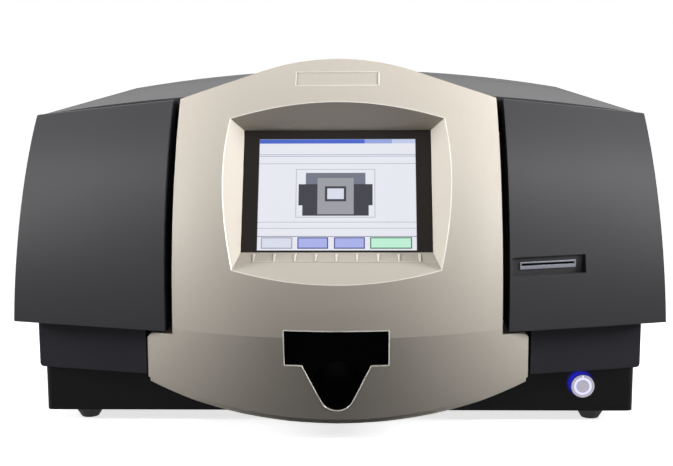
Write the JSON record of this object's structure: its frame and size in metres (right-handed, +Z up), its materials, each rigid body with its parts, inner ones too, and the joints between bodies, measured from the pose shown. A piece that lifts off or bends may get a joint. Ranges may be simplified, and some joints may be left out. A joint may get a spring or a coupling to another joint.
{
  "type": "id card printer",
  "caption": "Desktop ID card printer with a barrel-fronted centre panel, tilted touch screen, T-shaped card exit, swing-open front doors and a rear-hinged lid",
  "frame": {"origin": "on the floor, in the middle of the machine's overall width and depth", "axes": "+X to the right seen from the front, -Y out of the front where the user stands, +Z up"},
  "size_m": [0.6388, 0.6329, 0.3588],
  "materials": {
    "black_base": "satin moulded plastic",
    "foot_rubber": "matt",
    "steel_sheet": "zinc plated sheet",
    "charcoal_fascia": "satin plastic",
    "charcoal_shell": "fine textured plastic",
    "silver_shell": "fine satin metallic paint",
    "screen_bezel": "smooth plastic",
    "screen": "glossy lit screen",
    "tray_plastic": "smooth black plastic",
    "button_steel": "polished",
    "button_light": "lit ring",
    "belt_rubber": "matt",
    "motor_metal": "painted and plain",
    "white_plastic": "satin",
    "grey_plastic": "satin",
    "cast_frame": "cast and machined",
    "board": "circuit board",
    "slot_metal": "brushed",
    "reader_plastic": "plain plastic",
    "roller_rubber": "matt",
    "ribbon_film": "thin coloured film",
    "wheel_brass": "machined"
  },
  "bodies": {
    "casing": {"base_tray": "black_base", "rubber_feet": "foot_rubber", "mechanism_deck": "steel_sheet", "left_lower_fascia": "charcoal_fascia", "right_lower_fascia": "charcoal_fascia", "left_side_panel": "charcoal_shell", "right_side_panel": "charcoal_shell", "rear_panel": "charcoal_fascia", "rear_roof": "charcoal_shell", "lid_hinge_pins": "steel_sheet", "front_panel": "silver_shell", "screen_bezel": "screen_bezel", "touch_screen": "screen", "output_tray": "tray_plastic", "front_bulkhead": "black_base", "door_catches": "black_base", "right_hinge_brackets": "steel_sheet", "left_hinge_brackets": "steel_sheet", "power_button_housing": "button_steel", "power_button_ring": "button_light", "front_track_plate": "steel_sheet", "rear_track_plate": "steel_sheet", "drive_belt": "belt_rubber", "drive_motor": "motor_metal", "card_rails": "white_plastic", "card_hopper": "grey_plastic", "magnetic_encoder": "grey_plastic", "embosser_frame": "cast_frame", "exit_chute": "steel_sheet", "power_supply": "steel_sheet", "main_board": "board", "power_inlet": "black_base", "data_ports": "button_steel", "fan_housing": "tray_plastic", "cover_screws": "motor_metal"},
    "left_door": {"left_door": "charcoal_shell", "left_hinge_arms": "steel_sheet"},
    "right_door": {"right_door": "charcoal_shell", "right_hinge_arms": "steel_sheet", "card_slot_bezel": "slot_metal", "card_reader": "reader_plastic"},
    "lid": {"roof_lid": "charcoal_shell"},
    "power_button": {"power_button_cap": "button_steel"},
    "card_weight": {"card_pusher": "motor_metal"},
    "pick_roller": {"pick_roller": "roller_rubber"},
    "right_drive_roller": {"drive_roller_right": "roller_rubber"},
    "platen": {"platen_roller": "roller_rubber"},
    "left_drive_roller": {"drive_roller_left": "roller_rubber"},
    "right_pinch_roller": {"pinch_roller_right": "white_plastic"},
    "left_pinch_roller": {"pinch_roller_left": "white_plastic"},
    "motor_pulley": {"drive_pulley": "white_plastic"},
    "print_head": {"print_head": "cast_frame"},
    "supply_spool": {"ribbon_supply_spool": "ribbon_film"},
    "takeup_spool": {"ribbon_takeup_spool": "ribbon_film"},
    "character_wheels": {"punch_wheel": "wheel_brass", "die_wheel": "wheel_brass"},
    "emboss_ram": {"emboss_ram": "motor_metal"},
    "exit_flap": {"exit_flap": "steel_sheet"},
    "reject_bin": {"reject_bin": "grey_plastic"},
    "fan_rotor": {"fan_rotor": "tray_plastic"}
  },
  "joints": [
    {"name": "left_door_hinge", "type": "hinge", "parent": "casing", "child": "left_door", "pos_m": [-0.301, -0.1125, 0.173], "axis": [0, 0, -1], "range_deg": [0, 95]},
    {"name": "right_door_hinge", "type": "hinge", "parent": "casing", "child": "right_door", "pos_m": [0.301, -0.1125, 0.173], "axis": [0, 0, 1], "range_deg": [0, 95]},
    {"name": "lid_hinge", "type": "hinge", "parent": "casing", "child": "lid", "pos_m": [0, 0.2095, 0.33776], "axis": [-1, 0, 0], "range_deg": [0, 70]},
    {"name": "power_button_press", "type": "slide", "parent": "casing", "child": "power_button", "axis": [0, 1, 0], "range_m": [0, 0.0025], "stiffness_N_per_m": 600, "springref_m": -0.0005},
    {"name": "card_weight_lift", "type": "slide", "parent": "casing", "child": "card_weight", "axis": [0, 0, 1], "range_m": [0, 0.08]},
    {"name": "pick_roller_spin", "type": "hinge", "parent": "casing", "child": "pick_roller", "pos_m": [0.215, -0.1015, 0.1666], "axis": [0, 1, 0], "continuous": true},
    {"name": "right_drive_roller_spin", "type": "hinge", "parent": "casing", "child": "right_drive_roller", "pos_m": [0.155, -0.1015, 0.1666], "axis": [0, 1, 0], "continuous": true},
    {"name": "platen_spin", "type": "hinge", "parent": "casing", "child": "platen", "pos_m": [0.085, -0.1015, 0.1666], "axis": [0, 1, 0], "continuous": true},
    {"name": "left_drive_roller_spin", "type": "hinge", "parent": "casing", "child": "left_drive_roller", "pos_m": [-0.06, -0.1015, 0.1666], "axis": [0, 1, 0], "continuous": true},
    {"name": "motor_pulley_spin", "type": "hinge", "parent": "casing", "child": "motor_pulley", "pos_m": [-0.095, -0.1015, 0.1666], "axis": [0, 1, 0], "continuous": true},
    {"name": "right_pinch_roller_spin", "type": "hinge", "parent": "casing", "child": "right_pinch_roller", "pos_m": [0.155, -0.1015, 0.1809], "axis": [0, 1, 0], "continuous": true},
    {"name": "left_pinch_roller_spin", "type": "hinge", "parent": "casing", "child": "left_pinch_roller", "pos_m": [-0.06, -0.1015, 0.1809], "axis": [0, 1, 0], "continuous": true},
    {"name": "print_head_lift", "type": "hinge", "parent": "casing", "child": "print_head", "pos_m": [0.045, -0.1015, 0.215], "axis": [0, -1, 0], "range_deg": [0, 25]},
    {"name": "supply_spool_spin", "type": "hinge", "parent": "casing", "child": "supply_spool", "pos_m": [0.128, -0.1015, 0.245], "axis": [0, 1, 0], "continuous": true},
    {"name": "takeup_spool_spin", "type": "hinge", "parent": "casing", "child": "takeup_spool", "pos_m": [0.058, -0.1015, 0.252], "axis": [0, 1, 0], "continuous": true},
    {"name": "character_wheel_spin", "type": "hinge", "parent": "casing", "child": "character_wheels", "pos_m": [-0.18, -0.0465, 0.175], "axis": [0, 0, 1], "continuous": true},
    {"name": "emboss_ram_stroke", "type": "slide", "parent": "casing", "child": "emboss_ram", "axis": [0, 0, -1], "range_m": [0, 0.004], "stiffness_N_per_m": 1500, "springref_m": -0.002},
    {"name": "exit_flap_tilt", "type": "hinge", "parent": "casing", "child": "exit_flap", "pos_m": [0, -0.1275, 0.169], "axis": [1, 0, 0], "range_deg": [0, 35]},
    {"name": "reject_bin_pull", "type": "slide", "parent": "casing", "child": "reject_bin", "axis": [0, -1, 0], "range_m": [0, 0.09]},
    {"name": "fan_spin", "type": "hinge", "parent": "casing", "child": "fan_rotor", "pos_m": [-0.18, 0.2995, 0.2], "axis": [0, 1, 0], "continuous": true}
  ],
  "couplings": [
    {"joint": "pick_roller_spin", "follows": "right_drive_roller_spin", "ratio": 1},
    {"joint": "platen_spin", "follows": "right_drive_roller_spin", "ratio": 1},
    {"joint": "left_drive_roller_spin", "follows": "right_drive_roller_spin", "ratio": 1},
    {"joint": "motor_pulley_spin", "follows": "right_drive_roller_spin", "ratio": 1},
    {"joint": "right_pinch_roller_spin", "follows": "right_drive_roller_spin", "ratio": -1.3333},
    {"joint": "left_pinch_roller_spin", "follows": "right_drive_roller_spin", "ratio": -1.3333}
  ]
}
